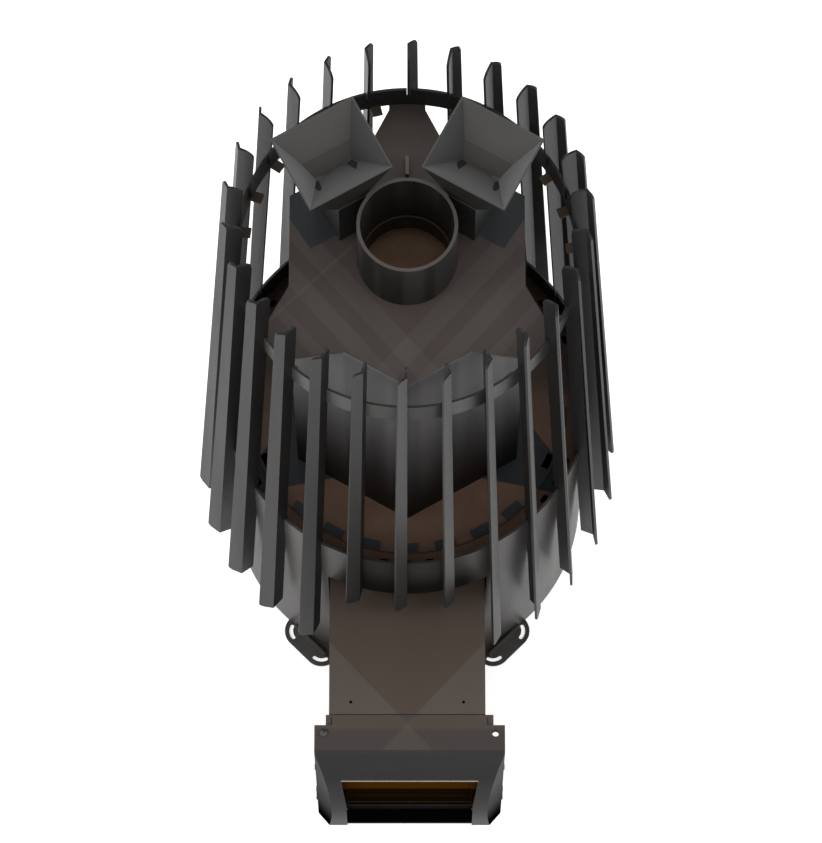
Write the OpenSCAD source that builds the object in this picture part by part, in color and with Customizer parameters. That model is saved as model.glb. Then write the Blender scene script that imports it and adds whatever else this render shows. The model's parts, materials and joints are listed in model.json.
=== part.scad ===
// Sauna stove: a six-sided firebox in a round cage of leaning slats, fed through a tunnel with a door.
// X is to the right, Y away from the door, Z up; the origin is on the floor at the cage's axis.

/* [Cage] */
// Height of the slat tops above the floor
cage_h = 995; // [980:1:1010]
// Radius of the slats' corner line at their tops
slat_top_r = 203.5; // [200:0.5:206]
// How far the slats' corner line stands outside the drum at its rim
slat_stand = 12.3; // [10:0.1:14]
// Number of slats
slat_n = 26; // [26:1:28]
// Height of the long slats' feet above the floor
long_foot_z = 135; // [100:1:170]
// Gap between the short slats' feet and the tunnel
short_foot_gap = 13; // [8:1:20]
// Sheet thickness of a slat
slat_t = 3; // [2.5:0.1:3.5]
// Width of a slat's inward leg
slat_in_w = 18; // [17:0.5:20]
// Width of a slat's outward leg at the top
slat_out_top = 12; // [9:0.5:14]
// Width of a slat's outward leg at the foot
slat_out_foot = 19; // [15:0.5:22]
// Turn of the outward leg from the cage's tangent, in degrees
slat_turn = 33; // [25:1:40]
// Radius of the outward leg's free corners
slat_corner_r = 8; // [5:0.5:8.5]
// Radius of the curve that cuts the inward leg's top
slat_crown_r = 14; // [10:0.5:16]
// Height of the spacer ring
ring_h = 40; // [36:1:44]
// Sheet thickness of the spacer ring
ring_t = 3; // [2:0.5:4]
// How far the spacer ring reaches into the slats' inward legs
ring_lap = 2.5; // [2:0.1:3.5]

/* [Drum] */
// Outer radius of the drum
drum_r = 229; // [222:1:236]
// Height of the drum
drum_h = 420; // [412:1:430]
// Sheet thickness of the drum
drum_t = 3; // [2:0.5:4]
// Depth of the slots in the drum's rim
rim_slot_h = 28; // [20:1:34]
// Depth of the stone tray below the rim
tray_drop = 37; // [35:1:60]
// Thickness of the base plate
base_t = 4; // [3:0.5:5]

/* [Firebox] */
// Radius of the firebox to its six corners
firebox_r = 157; // [153:1:160]
// Sheet thickness of the firebox
firebox_t = 4; // [3:0.5:6]
// Depth of the top plate's upper face below the slat tops
plate_drop = 148; // [140:1:160]
// Thickness of the top plate
plate_t = 4; // [3:0.5:6]
// Half width of a lug of the top plate
lug_half_w = 21.2; // [16:0.1:26]
// Outer radius of the flue collar
flue_r = 57.5; // [54:0.5:60]
// Wall of the flue collar
flue_t = 4; // [3:0.5:5]
// Height of the flue collar above the top plate
flue_h = 102; // [80:1:120]

/* [Water funnels] */
// Width of a steam duct
duct_w = 35.5; // [30:0.5:40]
// Height of a steam duct's front
duct_h = 90; // [80:1:95]
// Width of a funnel's rim
funnel_w = 103.5; // [95:0.5:110]
// Depth of a funnel's rim
funnel_d = 91.4; // [84:0.2:94]
// Height of a funnel's front plate
funnel_front_h = 39; // [34:1:44]
// Rise of a funnel's rim from front to back
funnel_rise = 19; // [12:1:24]
// Sheet thickness of a funnel and its duct
funnel_t = 2; // [1.5:0.5:2.5]

/* [Tunnel] */
// Outer width of the fuel tunnel
tunnel_w = 194; // [186:1:196]
// Height of the tunnel's top above the floor
tunnel_h = 299; // [290:1:305]
// Distance from the cage's axis to the tunnel's mouth
tunnel_reach = 384.5; // [370:0.5:400]
// Sheet thickness of the tunnel
tunnel_t = 3; // [2:0.5:4]
// Height of the hearth above the tunnel's inner floor
hearth_rise = 41; // [38:1:46]
// Thickness of the hearth plate
hearth_t = 4; // [3:0.5:5]

/* [Door] */
// Width of the door
door_w = 236; // [234:1:244]
// Distance of the door's centre to the right of the tunnel's
door_shift = 3; // [0:0.5:4]
// Sheet thickness of the door
door_t = 3; // [2:0.5:3.5]
// Radius of the face's curve, seen from the side
face_r = 853; // [780:1:1100]
// Depth of the face's foremost line below the tunnel's top
face_mid_drop = 199; // [180:1:220]
// Half width of the opening at its top
window_half_top = 86.5; // [84:0.5:90]
// Half width of the opening at its foot
window_half_foot = 80.4; // [78:0.1:83]
// Depth of the opening's top below the tunnel's top
window_drop = 84.5; // [79:0.5:99]
// Thickness of the pane
glass_t = 4; // [3:0.5:5]
// Radius of the hinge pin
pin_r = 4; // [3.5:0.1:4.5]

/* [Ash drawer] */
// Width of the ash drawer
drawer_w = 144; // [130:1:146]
// Height of the ash drawer
drawer_h = 30.7; // [24:0.1:31]
// Sheet thickness of the ash drawer
drawer_t = 1.5; // [1:0.5:2]

/* [Hidden] */
$fn = 96;

// Overrun of every cut, and the gap of pieces that are welded or laid beside each other
cut = 5;
seat_gap = 0.3;
// Radial clearance of the hinge pin in the arms
pin_gap = 0.05;

// Cage, worked out from the corner line
slat_rim_r = drum_r + slat_stand;
slat_slope = (slat_rim_r - slat_top_r) / (cage_h - drum_h);
slat_lean = atan(slat_slope);
short_n = 3;
front_slat = round(slat_n / 2);
side_lug = round(slat_n / 3);
lug_slats = [0, side_lug, slat_n - side_lug];
slat_slot_gap = 0.5;
short_foot_z = tunnel_h + short_foot_gap;
rim_slot_z = drum_h - rim_slot_h;
plate_z = cage_h - plate_drop;
ring_drop = 1;
ring_z = plate_z - ring_drop;
ring_slot_share = 0.525;
ring_slot_z = ring_z + ring_h * ring_slot_share;
ring_r = slat_in_r(ring_z) + ring_lap;
ring_in_r = ring_r - ring_t;
tongue_w = 12;
tongue_reach = 12;
tongue_gap = 0.8;

// Drum and tray
tray_z = drum_h - tray_drop;
tray_t = 3;
tray_seam_in = 27;
tray_seam_r = drum_r - tray_seam_in;
vent_groups = 6;
vents_each = 3;
vent_step = 7.5;
vent_in = 15;
vent_r = drum_r - vent_in;
vent_len = 12;
vent_w = 6.5;
pad_len = 26;
pad_depth = 11;
pad_t = 1.5;
pad_in = 6.5;
pad_r = tray_seam_r - pad_in;
tray_hole_slat = 8.3;
tray_hole_len = 21;
tray_hole_w = 9;
cut_out_gap = 2;
drum_in_r = drum_r - drum_t;

// Firebox
hex_sides = 6;
hex_flat = cos(180 / hex_sides);
apothem = firebox_r * hex_flat;
inner_apothem = apothem - firebox_t;
plate_z0 = plate_z - plate_t;
lug_throat_share = 0.73;
lug_neck_back = 7.5;
lug_end_gap = 0.1;
lug_flare = 26.8;
spigot_h = 30;
spigot_t = 2;
flue_in_r = flue_r - flue_t;
baffle_drop = 71;
baffle_z = plate_z - baffle_drop;
baffle_t = 4;
baffle_gas_y = -60;
rail_w = 12;
rail_len = 120;
rail_h = 4;
lug_rib_y = 101;
lug_rib_len = 23;
lug_rib_h = 12;
lug_rib_t = 4;
lug_rib_hole_r = 3;

// Tunnel, hearth and grate
tunnel_z = base_t;
tunnel_floor_z = tunnel_z + tunnel_t;
hearth_top_z = tunnel_floor_z + hearth_rise;
hearth_z = hearth_top_z - hearth_t;
lintel_h = 4;
ash_top_z = hearth_z - lintel_h;
drawer_side_gap = 3;
ash_half_w = drawer_w / 2 + drawer_side_gap;
tunnel_in_half = tunnel_w / 2 - tunnel_t;
doorway_side = 6;
doorway_half = tunnel_in_half - doorway_side;
doorway_head = 3;
doorway_top_z = tunnel_h - tunnel_t - doorway_head;
tunnel_hole_r = 2;
tunnel_hole_back = 15.5;
tunnel_hole_side = 70;
grate_w_share = 0.955;
grate_len_share = 1.083;
grate_w = firebox_r * grate_w_share;
grate_len = firebox_r * grate_len_share;
grate_h = 9;
grate_lip = 10;
grate_slots = 9;
grate_slot_share = 0.5;

// Water funnels, in a frame turned towards the firebox's rear flat
duct_turn = 30;
duct_gap = 0.7;
duct_ledge = 1;
duct_off = 20.5;
duct_back_gap = 17;
duct_u1 = -duct_off;
duct_u0 = duct_u1 - duct_w;
duct_mid = (duct_u0 + duct_u1) / 2;
duct_n0 = flue_r + duct_gap;
duct_n1 = apothem - duct_back_gap;
duct_top_z = plate_z + duct_h;
funnel_front_z = duct_top_z + funnel_front_h;
funnel_back_z = funnel_front_z + funnel_rise;
funnel_n0 = duct_n0 + duct_ledge;
slit_rise = 11;
slit_z = duct_top_z + slit_rise;
slit_len = 48;
slit_w = 3.6;
slit_share = 0.4245;
slit_n = funnel_n0 + funnel_d * slit_share;
crease_len = 62;
crease_back = 16.4;
crease_n = slit_n + slit_w + crease_back;
crease_rise = 13;
crease_z = slit_z + crease_rise;
crease_lean_share = 0.7;
funnel_over_share = 0.06;
notch_r = 9;
evaporator_h = 53;
evaporator_t = 3;
evaporator_side = 8;

// Door, in a frame at the door's centre line
frame_t = 4;
frame_y = -tunnel_reach - frame_t;
frame_half = 104;
door_lift = 4;
door_z = base_t + door_lift;
door_half = door_w / 2;
flange_z = tunnel_h - door_t;
frame_top_gap = 0.5;
window_top_z = tunnel_h - window_drop;
window_bend_z = 115;
fuel_half = 79;
fuel_head = 1;
fuel_top_z = window_top_z + fuel_head;
hood_back = 14.2;
hood_y = -tunnel_reach - hood_back;
face_steps = 720;
tab_gap = 1;
tab_half = 96;
hood_depth = 32.3;
fold_y = hood_y - hood_depth;
face_mid_z = tunnel_h - face_mid_drop;
face_y = fold_y - face_sag(tunnel_h);
cheek_back = 2;
cheek_y = fold_y - cheek_back;
cheek_in = 18.5;
cheek_slope = cheek_in / (cheek_y - face_y);
cheek_mitre = door_t * tan(atan(cheek_slope) / 2);
hinge_in = 11.6;
hinge_x = door_half - hinge_in;
hinge_forward = 10.3;
hinge_y = hood_y - hinge_forward;
hinge_hole_gap = 0.3;
hinge_hole_r = pin_r + hinge_hole_gap;
knuckle_r = 7;
arm_in = 2.4;
arm_w = 7;
arm_h = 5;
arm_drop = 6;
upper_arm_z = flange_z - arm_drop;
ear_t = 3;
ear_rise = 20;
ear_z = door_z + ear_rise;
ear_depth = 26;
lower_arm_z = ear_z - seat_gap - arm_h;
notch_depth = 18.3;
notch_gap = 2;
pin_head_r = 5.75;
pin_head_h = 4;
pin_tail = 5;
pin_foot_z = lower_arm_z - pin_tail;
screw_r = 4;
screw_h = 2.2;
side_screw_low = 53;
side_screw_high = 157;
side_screw_forward = 16;
side_screw_y = hood_y - side_screw_forward;

// Door inside: liner, pane, retainer and seals
liner_t = 3;
liner_half = 86;
liner_drop = 1;
liner_z = hearth_z - liner_drop;
liner_head = 8;
liner_top_z = fuel_top_z + liner_head;
liner_back = 7.5;
liner_y = frame_y - liner_back;
liner_flange = 5.5;
seal_gap = 0.3;
gasket_t = 0.8;
glass_forward = 0.2;
glass_y = fold_y - glass_forward;
retainer_t = 2.5;
retainer_bar = 25;
retainer_side = 8;
glass_screw_r = 2.5;
glass_screw_h = 1;

// Ash drawer
drawer_z = tunnel_floor_z + seat_gap;
drawer_back_y = 88;
drawer_forward = 39.5;
drawer_front_y = frame_y - drawer_forward;
sill_forward = 57.5;
sill_front_y = frame_y - sill_forward;
sill_half = 86;
pull_w = 60;
pull_reach = 6;
pull_t = 2;
pull_drop = 8;

// Feet, in a frame along the foot's bend line
foot_turn = -45;
foot_along = 50;
foot_t = 3;
foot_bend_r = drum_r + seat_gap + foot_t;
foot_half = 18;
foot_corner_r = 23;
foot_corner_in = 4.6;
foot_slot_r = 14.7;
foot_slot_w = 5;
foot_slot_from = 20;
foot_slot_to = 84;
foot_steps = 12;
foot_wall_h = 12;
foot_wall_half = 28.5;

// Radius of the slats' corner line, and of their inner edge, at a height
function slat_r(z) = slat_top_r + (cage_h - z) * slat_slope;
function slat_in_r(z) = slat_r(z) - slat_in_w;
function slat_angle(i) = 90 - i * 360 / slat_n;
function blade_w(z) =
    slat_out_top + (slat_out_foot - slat_out_top) * (cage_h - z) / (cage_h - long_foot_z);
function arc(x, y, r, from, to, steps = 6) =
    [for (k = [0:steps]) let (a = from + (to - from) * k / steps) [x + r * cos(a), y + r * sin(a)]];
// Point on the way from one to another
function mix(a, b, share) = a + (b - a) * share;
// How far the door's face stands back from its foremost line at a height
function face_sag(z) = (z - face_mid_z) * (z - face_mid_z) / (2 * face_r);

module hex_prism(r, z0, z1) {
    translate([0, 0, z0]) rotate([0, 0, 30]) cylinder(r = r, h = z1 - z0, $fn = hex_sides);
}

module ring_tube(r_out, r_in, z0, z1) {
    difference() {
        translate([0, 0, z0]) cylinder(r = r_out, h = z1 - z0);
        translate([0, 0, z0 - cut]) cylinder(r = r_in, h = z1 - z0 + 2 * cut);
    }
}

// A frame of one rectangle round another, standing across Y, centred on the door
module upright_frame(half_out, z0, z1, half_in, w0, w1, y0, y1) {
    difference() {
        translate([door_shift - half_out, y0, z0]) cube([2 * half_out, y1 - y0, z1 - z0]);
        translate([door_shift - half_in, y0 - cut, w0]) cube([2 * half_in, y1 - y0 + 2 * cut, w1 - w0]);
    }
}

module at_slat(i) {
    rotate([0, 0, slat_angle(i)]) children();
}

// Inward leg: a web in the cage's radial plane, notched over the drum's rim and the ring
module slat_web(foot_z) {
    top_in = slat_in_r(cage_h);
    rotate([90, 0, 0]) difference() {
        linear_extrude(slat_t) polygon(concat(
            [[slat_in_r(foot_z), foot_z], [slat_r(foot_z), foot_z], [slat_r(cage_h), cage_h]],
            arc(top_in + slat_crown_r, cage_h - slat_crown_r, slat_crown_r, 90, 180)));
        translate([0, 0, -cut]) cube([drum_r + seat_gap, rim_slot_z, slat_t + 2 * cut]);
        translate([0, ring_z - seat_gap, -cut])
            cube([ring_r + seat_gap, ring_slot_z - ring_z + seat_gap, slat_t + 2 * cut]);
    }
}

// Outward leg: a blade in the leaning plane through the corner line, wider towards its foot
module slat_blade(foot_z) {
    len = (cage_h - foot_z) / cos(slat_lean);
    w = blade_w(foot_z);
    r = slat_corner_r;
    translate([slat_top_r, 0, cage_h]) rotate([0, -slat_lean, 0]) rotate([0, 0, slat_turn - 90])
        rotate([90, 0, 0]) linear_extrude(slat_t) polygon(concat(
            [[0, 0]],
            arc(slat_out_top - r, -r, r, 90, 0),
            arc(w - r, r - len, r, 0, -90),
            [[0, -len]]));
}

module slat(i, foot_z) {
    at_slat(i) {
        slat_web(foot_z);
        slat_blade(foot_z);
    }
}

function is_short(i) = abs(i - front_slat) <= (short_n - 1) / 2;

module long_slats() color([0.25, 0.24, 0.23]) {
    for (i = [0:slat_n - 1]) if (!is_short(i)) slat(i, long_foot_z);
}

module short_slats() color([0.25, 0.24, 0.23]) {
    for (i = [0:slat_n - 1]) if (is_short(i)) slat(i, short_foot_z);
}

// Slots that take the slats' webs, open at the top of a shell
module web_slots(r_in, r_out, z0) {
    for (i = [0:slat_n - 1]) at_slat(i)
        translate([r_in - cut, -slat_t - slat_slot_gap, z0])
            cube([r_out - r_in + 2 * cut, slat_t + 2 * slat_slot_gap, rim_slot_h + cut]);
}

module upper_ring() color([0.2, 0.19, 0.18]) {
    difference() {
        ring_tube(ring_r, ring_in_r, ring_z, ring_z + ring_h);
        web_slots(ring_in_r, ring_r, ring_slot_z);
    }
    for (i = [0:slat_n - 1]) if (len(search(i, lug_slats)) == 0) at_slat(i)
        translate([ring_in_r - tongue_reach, -slat_t - tongue_gap - tongue_w, ring_z])
            cube([tongue_reach + ring_t / 2, tongue_w, ring_t]);
}

module lower_drum() color([0.3, 0.29, 0.28]) {
    difference() {
        ring_tube(drum_r, drum_in_r, 0, drum_h);
        web_slots(drum_in_r, drum_r, rim_slot_z);
        translate([-tunnel_w / 2 - cut_out_gap, -drum_r - cut, -cut])
            cube([tunnel_w + 2 * cut_out_gap, drum_r, tunnel_h + short_foot_gap / 4 + cut]);
    }
}

module base_plate() color([0.15, 0.15, 0.15]) {
    cylinder(r = drum_in_r - seat_gap, h = base_t);
}

// Flange inside the rim, with groups of slots that let the air up between drum and firebox
module vent_ring() color([0.14, 0.13, 0.12]) {
    z0 = tray_z - 2 * tray_t;
    difference() {
        ring_tube(drum_in_r - seat_gap, pad_r - pad_depth, z0, z0 + tray_t);
        for (group = [0:vent_groups - 1]) for (k = [0:vents_each - 1])
            rotate([0, 0, (group + 0.5) * 360 / vent_groups + (k - (vents_each - 1) / 2) * vent_step])
                translate([vent_r, 0, z0 - cut]) linear_extrude(tray_t + 2 * cut) polygon(concat(
                    arc(0, vent_len / 2 - vent_w / 2, vent_w / 2, 0, 180),
                    arc(0, vent_w / 2 - vent_len / 2, vent_w / 2, 180, 360)));
        tray_holes(z0);
    }
}

module tray_holes(z0) {
    for (side = [-1, 1]) at_slat(side * tray_hole_slat)
        translate([pad_r - pad_depth / 4 - tray_hole_w / 2, -tray_hole_len / 2, z0 - cut])
            cube([tray_hole_w, tray_hole_len, tray_t + 2 * cut]);
}

module drum_floor() color([0.2, 0.19, 0.18]) {
    difference() {
        translate([0, 0, tray_z - tray_t]) cylinder(r = tray_seam_r, h = tray_t);
        hex_prism(firebox_r + seat_gap / hex_flat, tray_z - tray_t - cut, tray_z + cut);
        tray_holes(tray_z - tray_t);
    }
}

module floor_pads() color([0.22, 0.21, 0.2]) {
    for (i = [0:slat_n - 1])
        if (abs(i - tray_hole_slat) > 1 && abs(i - slat_n + tray_hole_slat) > 1) at_slat(i)
            translate([pad_r - pad_depth / 2, -pad_len / 2, tray_z]) cube([pad_depth, pad_len, pad_t]);
}

module firebox_walls() color([0.19, 0.18, 0.17]) {
    difference() {
        hex_prism(firebox_r, base_t, plate_z0);
        hex_prism(firebox_r - firebox_t / hex_flat, base_t - cut, plate_z0 + cut);
        translate([-doorway_half, -firebox_r - cut, hearth_z])
            cube([2 * doorway_half, firebox_r, doorway_top_z - hearth_z]);
        translate([-ash_half_w, -firebox_r - cut, base_t - cut])
            cube([2 * ash_half_w, firebox_r, ash_top_z - base_t + cut]);
    }
}

// One lug of the top plate: parallel sides to the ring, then a flare that runs into the plate's edge
module lug(i) {
    neck = ring_in_r - lug_neck_back;
    throat = firebox_r * lug_throat_share;
    throat_half = lug_half_w + (neck - throat) * tan(lug_flare);
    at_slat(i) intersection() {
        polygon([
            [throat, -throat_half], [neck, -lug_half_w], [ring_r, -lug_half_w],
            [ring_r, lug_half_w], [neck, lug_half_w], [throat, throat_half]]);
        circle(r = ring_in_r - lug_end_gap);
    }
}

module top_plate() color([0.26, 0.22, 0.19]) {
    difference() {
        translate([0, 0, plate_z0]) linear_extrude(plate_t) {
            rotate([0, 0, 30]) circle(r = firebox_r, $fn = hex_sides);
            for (i = lug_slats) lug(i);
        }
        translate([0, 0, plate_z0 - cut]) cylinder(r = flue_in_r, h = plate_t + 2 * cut);
        both_ducts() duct_block(funnel_t, plate_z0 - cut, plate_z + cut);
    }
}

module lifting_lug() color([0.22, 0.2, 0.18]) {
    difference() {
        translate([-lug_rib_t / 2, lug_rib_y, plate_z]) cube([lug_rib_t, lug_rib_len, lug_rib_h]);
        translate([-lug_rib_t, lug_rib_y + lug_rib_len / 2, plate_z + lug_rib_h / 2])
            rotate([0, 90, 0]) cylinder(r = lug_rib_hole_r, h = 2 * lug_rib_t);
    }
}

module flue_collar() color([0.16, 0.15, 0.15]) {
    spigot_r = flue_in_r - seat_gap;
    rotate_extrude() polygon([
        [spigot_r - spigot_t, plate_z - spigot_h], [spigot_r, plate_z - spigot_h],
        [spigot_r, plate_z], [flue_r, plate_z],
        [flue_r, plate_z + flue_h], [flue_in_r, plate_z + flue_h],
        [flue_in_r, plate_z + spigot_t], [spigot_r - spigot_t, plate_z + spigot_t]]);
}

module flame_baffle() color([0.3, 0.22, 0.16]) {
    difference() {
        hex_prism(firebox_r - (firebox_t + seat_gap) / hex_flat, baffle_z, baffle_z + baffle_t);
        translate([-firebox_r, baffle_gas_y - firebox_r, baffle_z - cut])
            cube([2 * firebox_r, firebox_r, baffle_t + 2 * cut]);
    }
}

module baffle_rails() color([0.2, 0.19, 0.18]) {
    rail_x = inner_apothem - seat_gap - rail_w / 2;
    for (side = [-1, 1]) translate([side * rail_x, 0, baffle_z - rail_h / 2])
        cube([rail_w, rail_len, rail_h], center = true);
}

module left_frame() {
    rotate([0, 0, duct_turn]) children();
}

module right_frame() {
    mirror([1, 0, 0]) left_frame() children();
}

module both_ducts() {
    left_frame() children();
    right_frame() children();
}

// Block inside a duct's outline, drawn in by an inset
module duct_block(inset, z0, z1) {
    translate([duct_u0 + inset, duct_n0 + inset, z0])
        cube([duct_w - 2 * inset, duct_n1 - duct_n0 - 2 * inset, z1 - z0]);
}

// Side profile of everything above a funnel's outer walls
module funnel_profile(grow) {
    translate([duct_u0 - funnel_w, 0, 0]) rotate([90, 0, 90]) linear_extrude(3 * funnel_w) polygon([
        [funnel_n0 - funnel_d, funnel_front_z - grow],
        [funnel_n0, funnel_front_z - grow],
        [slit_n - funnel_t, slit_z - funnel_t - grow],
        [slit_n + slit_w + funnel_t, slit_z - funnel_t - grow],
        [crease_n + crease_lean_share * funnel_t, crease_z - crease_lean_share * funnel_t - grow],
        [funnel_n0 + funnel_d, funnel_back_z - grow],
        [funnel_n0 + funnel_d, funnel_back_z + funnel_d],
        [funnel_n0 - funnel_d, funnel_back_z + funnel_d]]);
}

module duct() {
    difference() {
        duct_block(0, plate_z, funnel_front_z - funnel_t);
        duct_block(funnel_t, plate_z - cut, funnel_back_z);
        funnel_profile(seat_gap + funnel_t / 2);
        translate([duct_u0 - cut, duct_n0 - cut, duct_top_z])
            cube([duct_w + 2 * cut, cut + duct_ledge + funnel_t + seat_gap, funnel_back_z]);
    }
}

module left_duct() color([0.3, 0.29, 0.28]) left_frame() duct();
module right_duct() color([0.3, 0.29, 0.28]) right_frame() duct();

// Corner points of a funnel's hopper, grown outwards: its slit, its tilted rim, and the back wall's crease
function hopper_low(g) = [
    [duct_mid - slit_len / 2 - g, slit_n - g, slit_z - g],
    [duct_mid + slit_len / 2 + g, slit_n - g, slit_z - g],
    [duct_mid + slit_len / 2 + g, slit_n + slit_w + g, slit_z - g],
    [duct_mid - slit_len / 2 - g, slit_n + slit_w + g, slit_z - g]];
function hopper_rim(g) = [
    [duct_mid - funnel_w / 2 - g, funnel_n0 + funnel_t - g, funnel_front_z],
    [duct_mid + funnel_w / 2 + g, funnel_n0 + funnel_t - g, funnel_front_z],
    [duct_mid + funnel_w / 2 + g, funnel_n0 + funnel_d - funnel_t + g, funnel_back_z],
    [duct_mid - funnel_w / 2 - g, funnel_n0 + funnel_d - funnel_t + g, funnel_back_z]];
function hopper_crease(g) = [for (side = [1, -1]) [duct_mid + side * (crease_len / 2 + g),
    crease_n + crease_lean_share * g, crease_z - crease_lean_share * g]];

module hopper(g, over_share) {
    low = hopper_low(g);
    rim = hopper_rim(g);
    crease = hopper_crease(g);
    foot_of = [low[0], low[1], crease[0], crease[1]];
    top = [for (k = [0:3]) mix(foot_of[k], rim[k], 1 + over_share)];
    polyhedron(points = concat(low, top, crease), faces = [
        [0, 1, 2, 3], [7, 6, 5, 4], [0, 4, 5], [0, 5, 1],
        [5, 6, 8], [5, 8, 2], [5, 2, 1], [2, 8, 9], [2, 9, 3], [8, 6, 7], [8, 7, 9],
        [4, 0, 3], [4, 3, 9], [4, 9, 7]]);
}

// Funnel: a creased hopper, its front plate, the water slit, and a notch at each end of the slit
module funnel() {
    difference() {
        union() {
            hopper(funnel_t, 0);
            translate([0, funnel_n0 + funnel_t, 0]) rotate([90, 0, 0]) linear_extrude(funnel_t) polygon([
                [duct_u0, duct_top_z], [duct_u1, duct_top_z],
                [duct_mid + funnel_w / 2, funnel_front_z], [duct_mid - funnel_w / 2, funnel_front_z]]);
        }
        hopper(0, funnel_over_share);
        translate([duct_u0 + funnel_t, slit_n, slit_z - cut])
            cube([duct_w - 2 * funnel_t, slit_w, 2 * cut]);
        for (side = [-1, 1]) intersection() {
            translate([duct_mid + side * slit_len / 2, slit_n, slit_z - cut])
                cylinder(r = notch_r, h = 2 * crease_rise);
            translate([duct_mid - slit_len / 2, slit_n - notch_r, slit_z - cut])
                cube([slit_len, notch_r, 2 * crease_rise]);
        }
    }
}

module left_funnel() color([0.42, 0.41, 0.4]) left_frame() funnel();
module right_funnel() color([0.42, 0.41, 0.4]) right_frame() funnel();

module evaporator() {
    z0 = plate_z0 - evaporator_h;
    difference() {
        translate([duct_u0 - evaporator_side, duct_n0, z0])
            cube([duct_w + 2 * evaporator_side, duct_n1 - duct_n0, evaporator_h]);
        translate([duct_u0 - evaporator_side + evaporator_t, duct_n0 + evaporator_t, z0 + evaporator_t])
            cube([duct_w + 2 * (evaporator_side - evaporator_t), duct_n1 - duct_n0 - 2 * evaporator_t,
                evaporator_h]);
    }
}

module left_evaporator() color([0.3, 0.3, 0.3]) left_frame() evaporator();
module right_evaporator() color([0.3, 0.3, 0.3]) right_frame() evaporator();

module fuel_tunnel() color([0.22, 0.2, 0.18]) {
    difference() {
        translate([-tunnel_w / 2, -tunnel_reach, tunnel_z])
            cube([tunnel_w, tunnel_reach, tunnel_h - tunnel_z]);
        translate([-tunnel_in_half, -tunnel_reach - cut, tunnel_floor_z])
            cube([2 * tunnel_in_half, tunnel_reach + 2 * cut, tunnel_h - tunnel_t - tunnel_floor_z]);
        hex_prism(firebox_r + seat_gap / hex_flat, -cut, tunnel_h + cut);
        for (x = [-1, 1]) translate([x * tunnel_hole_side, tunnel_hole_back - tunnel_reach, tunnel_h - cut])
            cylinder(r = tunnel_hole_r, h = 2 * cut);
    }
}

module hearth_plate() color([0.14, 0.13, 0.12]) {
    difference() {
        translate([0, 0, hearth_z]) linear_extrude(hearth_t) {
            rotate([0, 0, 30]) circle(r = firebox_r - (firebox_t + seat_gap) / hex_flat, $fn = hex_sides);
            translate([seat_gap - doorway_half, -tunnel_reach])
                square([2 * (doorway_half - seat_gap), tunnel_reach]);
        }
        translate([-grate_w / 2, -grate_len / 2, hearth_z - cut])
            cube([grate_w, grate_len, hearth_t + 2 * cut]);
    }
}

module fire_grate() color([0.12, 0.12, 0.12]) {
    pitch = grate_w / grate_slots;
    difference() {
        translate([-grate_w / 2 - grate_lip, -grate_len / 2 - grate_lip, hearth_top_z])
            cube([grate_w + 2 * grate_lip, grate_len + 2 * grate_lip, grate_h]);
        for (k = [0:grate_slots - 1]) for (half = [0, 1])
            translate([-grate_w / 2 + pitch * (k + 0.5) - pitch * grate_slot_share / 2,
                half == 0 ? -grate_len / 2 : grate_lip / 2, hearth_top_z - cut])
                cube([pitch * grate_slot_share, grate_len / 2 - grate_lip / 2, grate_h + 2 * cut]);
    }
}

module front_frame() color([0.22, 0.2, 0.18]) {
    difference() {
        translate([door_shift - frame_half, frame_y, 0])
            cube([2 * frame_half, frame_t, flange_z - frame_top_gap]);
        translate([door_shift - fuel_half, frame_y - cut, hearth_top_z])
            cube([2 * fuel_half, frame_t + 2 * cut, fuel_top_z - hearth_top_z]);
        translate([-ash_half_w, frame_y - cut, tunnel_floor_z])
            cube([2 * ash_half_w, frame_t + 2 * cut, ash_top_z - tunnel_floor_z]);
    }
}

// Hinge arm: a bar from the frame to a round eye, drawn for the right side
module hinge_arm(z0) {
    difference() {
        union() {
            translate([hinge_x - arm_in - arm_w, hinge_y, z0]) cube([arm_w, frame_y - hinge_y, arm_h]);
            translate([hinge_x, hinge_y, z0]) cylinder(r = knuckle_r, h = arm_h);
        }
        translate([hinge_x, hinge_y, z0 - cut]) cylinder(r = pin_r + pin_gap, h = arm_h + 2 * cut);
    }
}

module hinge_arms() color([0.22, 0.2, 0.18]) {
    translate([door_shift, 0, 0]) for (side = [0, 1]) mirror([side, 0, 0]) {
        hinge_arm(upper_arm_z);
        hinge_arm(lower_arm_z);
    }
}

module sill_plate() color([0.3, 0.27, 0.25]) {
    translate([-sill_half, sill_front_y, tunnel_z]) cube([2 * sill_half, frame_y - sill_front_y, tunnel_t]);
}

// Space inside the door's curved face, drawn in by an inset; the curve is foremost at its middle height
module face_drum(inset) {
    translate([-door_w, face_r + face_y, face_mid_z]) rotate([0, 90, 0])
        cylinder(r = face_r - inset, h = 2 * door_w, $fn = face_steps);
}

// Plan of the door: straight sides, then cheeks that slant inwards to the face
module hood_plan(half, mitre, back, z0, z1) {
    nose_y = face_y - cut;
    nose = half - cheek_slope * (cheek_y + mitre - nose_y);
    translate([0, 0, z0]) linear_extrude(z1 - z0) polygon([
        [-half, back], [-half, cheek_y + mitre], [-nose, nose_y],
        [nose, nose_y], [half, cheek_y + mitre], [half, back]]);
}

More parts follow.
